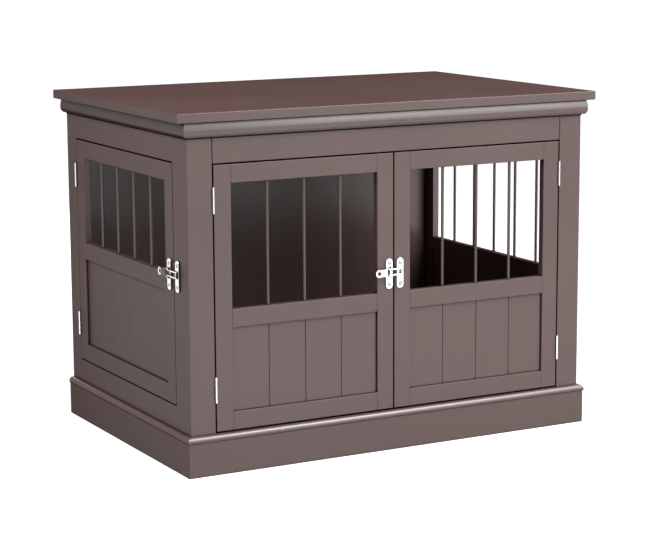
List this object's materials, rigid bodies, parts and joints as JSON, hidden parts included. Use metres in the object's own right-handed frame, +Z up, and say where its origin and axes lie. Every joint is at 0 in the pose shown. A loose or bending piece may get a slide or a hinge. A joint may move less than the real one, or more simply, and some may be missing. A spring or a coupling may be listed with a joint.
{
  "type": "dog_crate_end_table",
  "caption": "End table with a pet crate cabinet under its top: barred front double doors, a barred side door and toggle latches",
  "frame": {"origin": "on the floor, under the middle of the table top's outline", "axes": "+Z up, the double doors face -Y, +X to the right of someone facing them"},
  "size_m": [0.946, 0.633, 0.7],
  "materials": {
    "greige_wood": "satin",
    "barred_steel": "satin",
    "bright_hardware": "polished"
  },
  "bodies": {
    "root": {"table_top": "greige_wood", "cornice_front": "greige_wood", "cornice_left": "greige_wood", "cornice_right": "greige_wood", "cornice_back": "greige_wood", "front_left_post": "greige_wood", "front_right_post": "greige_wood", "front_top_rail": "greige_wood", "front_bottom_rail": "greige_wood", "left_side_frame": "greige_wood", "right_side_frame": "greige_wood", "right_side_panel": "greige_wood", "right_side_bars": "barred_steel", "back_panel": "greige_wood", "floor_panel": "greige_wood", "side_battens": "greige_wood", "front_door_stop": "greige_wood", "side_door_stop": "greige_wood", "plinth_front": "greige_wood", "plinth_left": "greige_wood", "plinth_right": "greige_wood", "hinge_frame_leaves": "bright_hardware", "hinge_pins": "bright_hardware", "frame_screws": "bright_hardware", "side_catch_plate": "bright_hardware"},
    "front_left_door": {"left_door_hinge_stile": "greige_wood", "left_door_latch_stile": "greige_wood", "left_door_bottom_rail": "greige_wood", "left_door_middle_rail": "greige_wood", "left_door_top_rail": "greige_wood", "left_door_grooved_panel": "greige_wood", "left_door_bars": "barred_steel", "left_door_hinge_leaves": "bright_hardware", "left_door_screws": "bright_hardware", "front_latch_plate": "bright_hardware"},
    "front_right_door": {"right_door_hinge_stile": "greige_wood", "right_door_latch_stile": "greige_wood", "right_door_bottom_rail": "greige_wood", "right_door_middle_rail": "greige_wood", "right_door_top_rail": "greige_wood", "right_door_grooved_panel": "greige_wood", "right_door_bars": "barred_steel", "right_door_hinge_leaves": "bright_hardware", "right_door_screws": "bright_hardware", "front_catch_plate": "bright_hardware"},
    "side_door": {"side_door_hinge_stile": "greige_wood", "side_door_latch_stile": "greige_wood", "side_door_bottom_rail": "greige_wood", "side_door_middle_rail": "greige_wood", "side_door_top_rail": "greige_wood", "side_door_grooved_panel": "greige_wood", "side_door_bars": "barred_steel", "side_door_hinge_leaves": "bright_hardware", "side_door_screws": "bright_hardware", "side_latch_plate": "bright_hardware"},
    "front_latch_lever": {"front_latch_lever": "bright_hardware"},
    "front_latch_loop": {"front_latch_loop": "bright_hardware"},
    "side_latch_lever": {"side_latch_lever": "bright_hardware"},
    "side_latch_loop": {"side_latch_loop": "bright_hardware"}
  },
  "joints": [
    {"name": "front_left_door_hinge", "type": "hinge", "parent": "root", "child": "front_left_door", "pos_m": [-0.3945, -0.3027, 0.349], "axis": [0, 0, -1], "range_deg": [0, 170]},
    {"name": "front_right_door_hinge", "type": "hinge", "parent": "root", "child": "front_right_door", "pos_m": [0.3945, -0.3027, 0.349], "axis": [0, 0, 1], "range_deg": [0, 170]},
    {"name": "side_door_hinge", "type": "hinge", "parent": "root", "child": "side_door", "pos_m": [-0.4502, 0.256, 0.365], "axis": [0, 0, -1], "range_deg": [0, 170]},
    {"name": "front_latch_lever_pivot", "type": "hinge", "parent": "front_left_door", "child": "front_latch_lever", "pos_m": [-0.00845, -0.307, 0.3615], "axis": [0, 0, 1], "range_deg": [0, 70]},
    {"name": "front_latch_loop_pivot", "type": "hinge", "parent": "front_latch_lever", "child": "front_latch_loop", "pos_m": [-0.01395, -0.3065, 0.3615], "axis": [0, 0, 1], "range_deg": [-134, 0]},
    {"name": "side_latch_lever_pivot", "type": "hinge", "parent": "side_door", "child": "side_latch_lever", "pos_m": [-0.4545, -0.22085, 0.387], "axis": [0, 0, 1], "range_deg": [0, 70]},
    {"name": "side_latch_loop_pivot", "type": "hinge", "parent": "side_latch_lever", "child": "side_latch_loop", "pos_m": [-0.454, -0.21535, 0.387], "axis": [0, 0, 1], "range_deg": [-134, 0]}
  ],
  "couplings": [
    {"joint": "front_latch_loop_pivot", "follows": "front_latch_lever_pivot", "ratio": -1.9},
    {"joint": "side_latch_loop_pivot", "follows": "side_latch_lever_pivot", "ratio": -1.9}
  ]
}
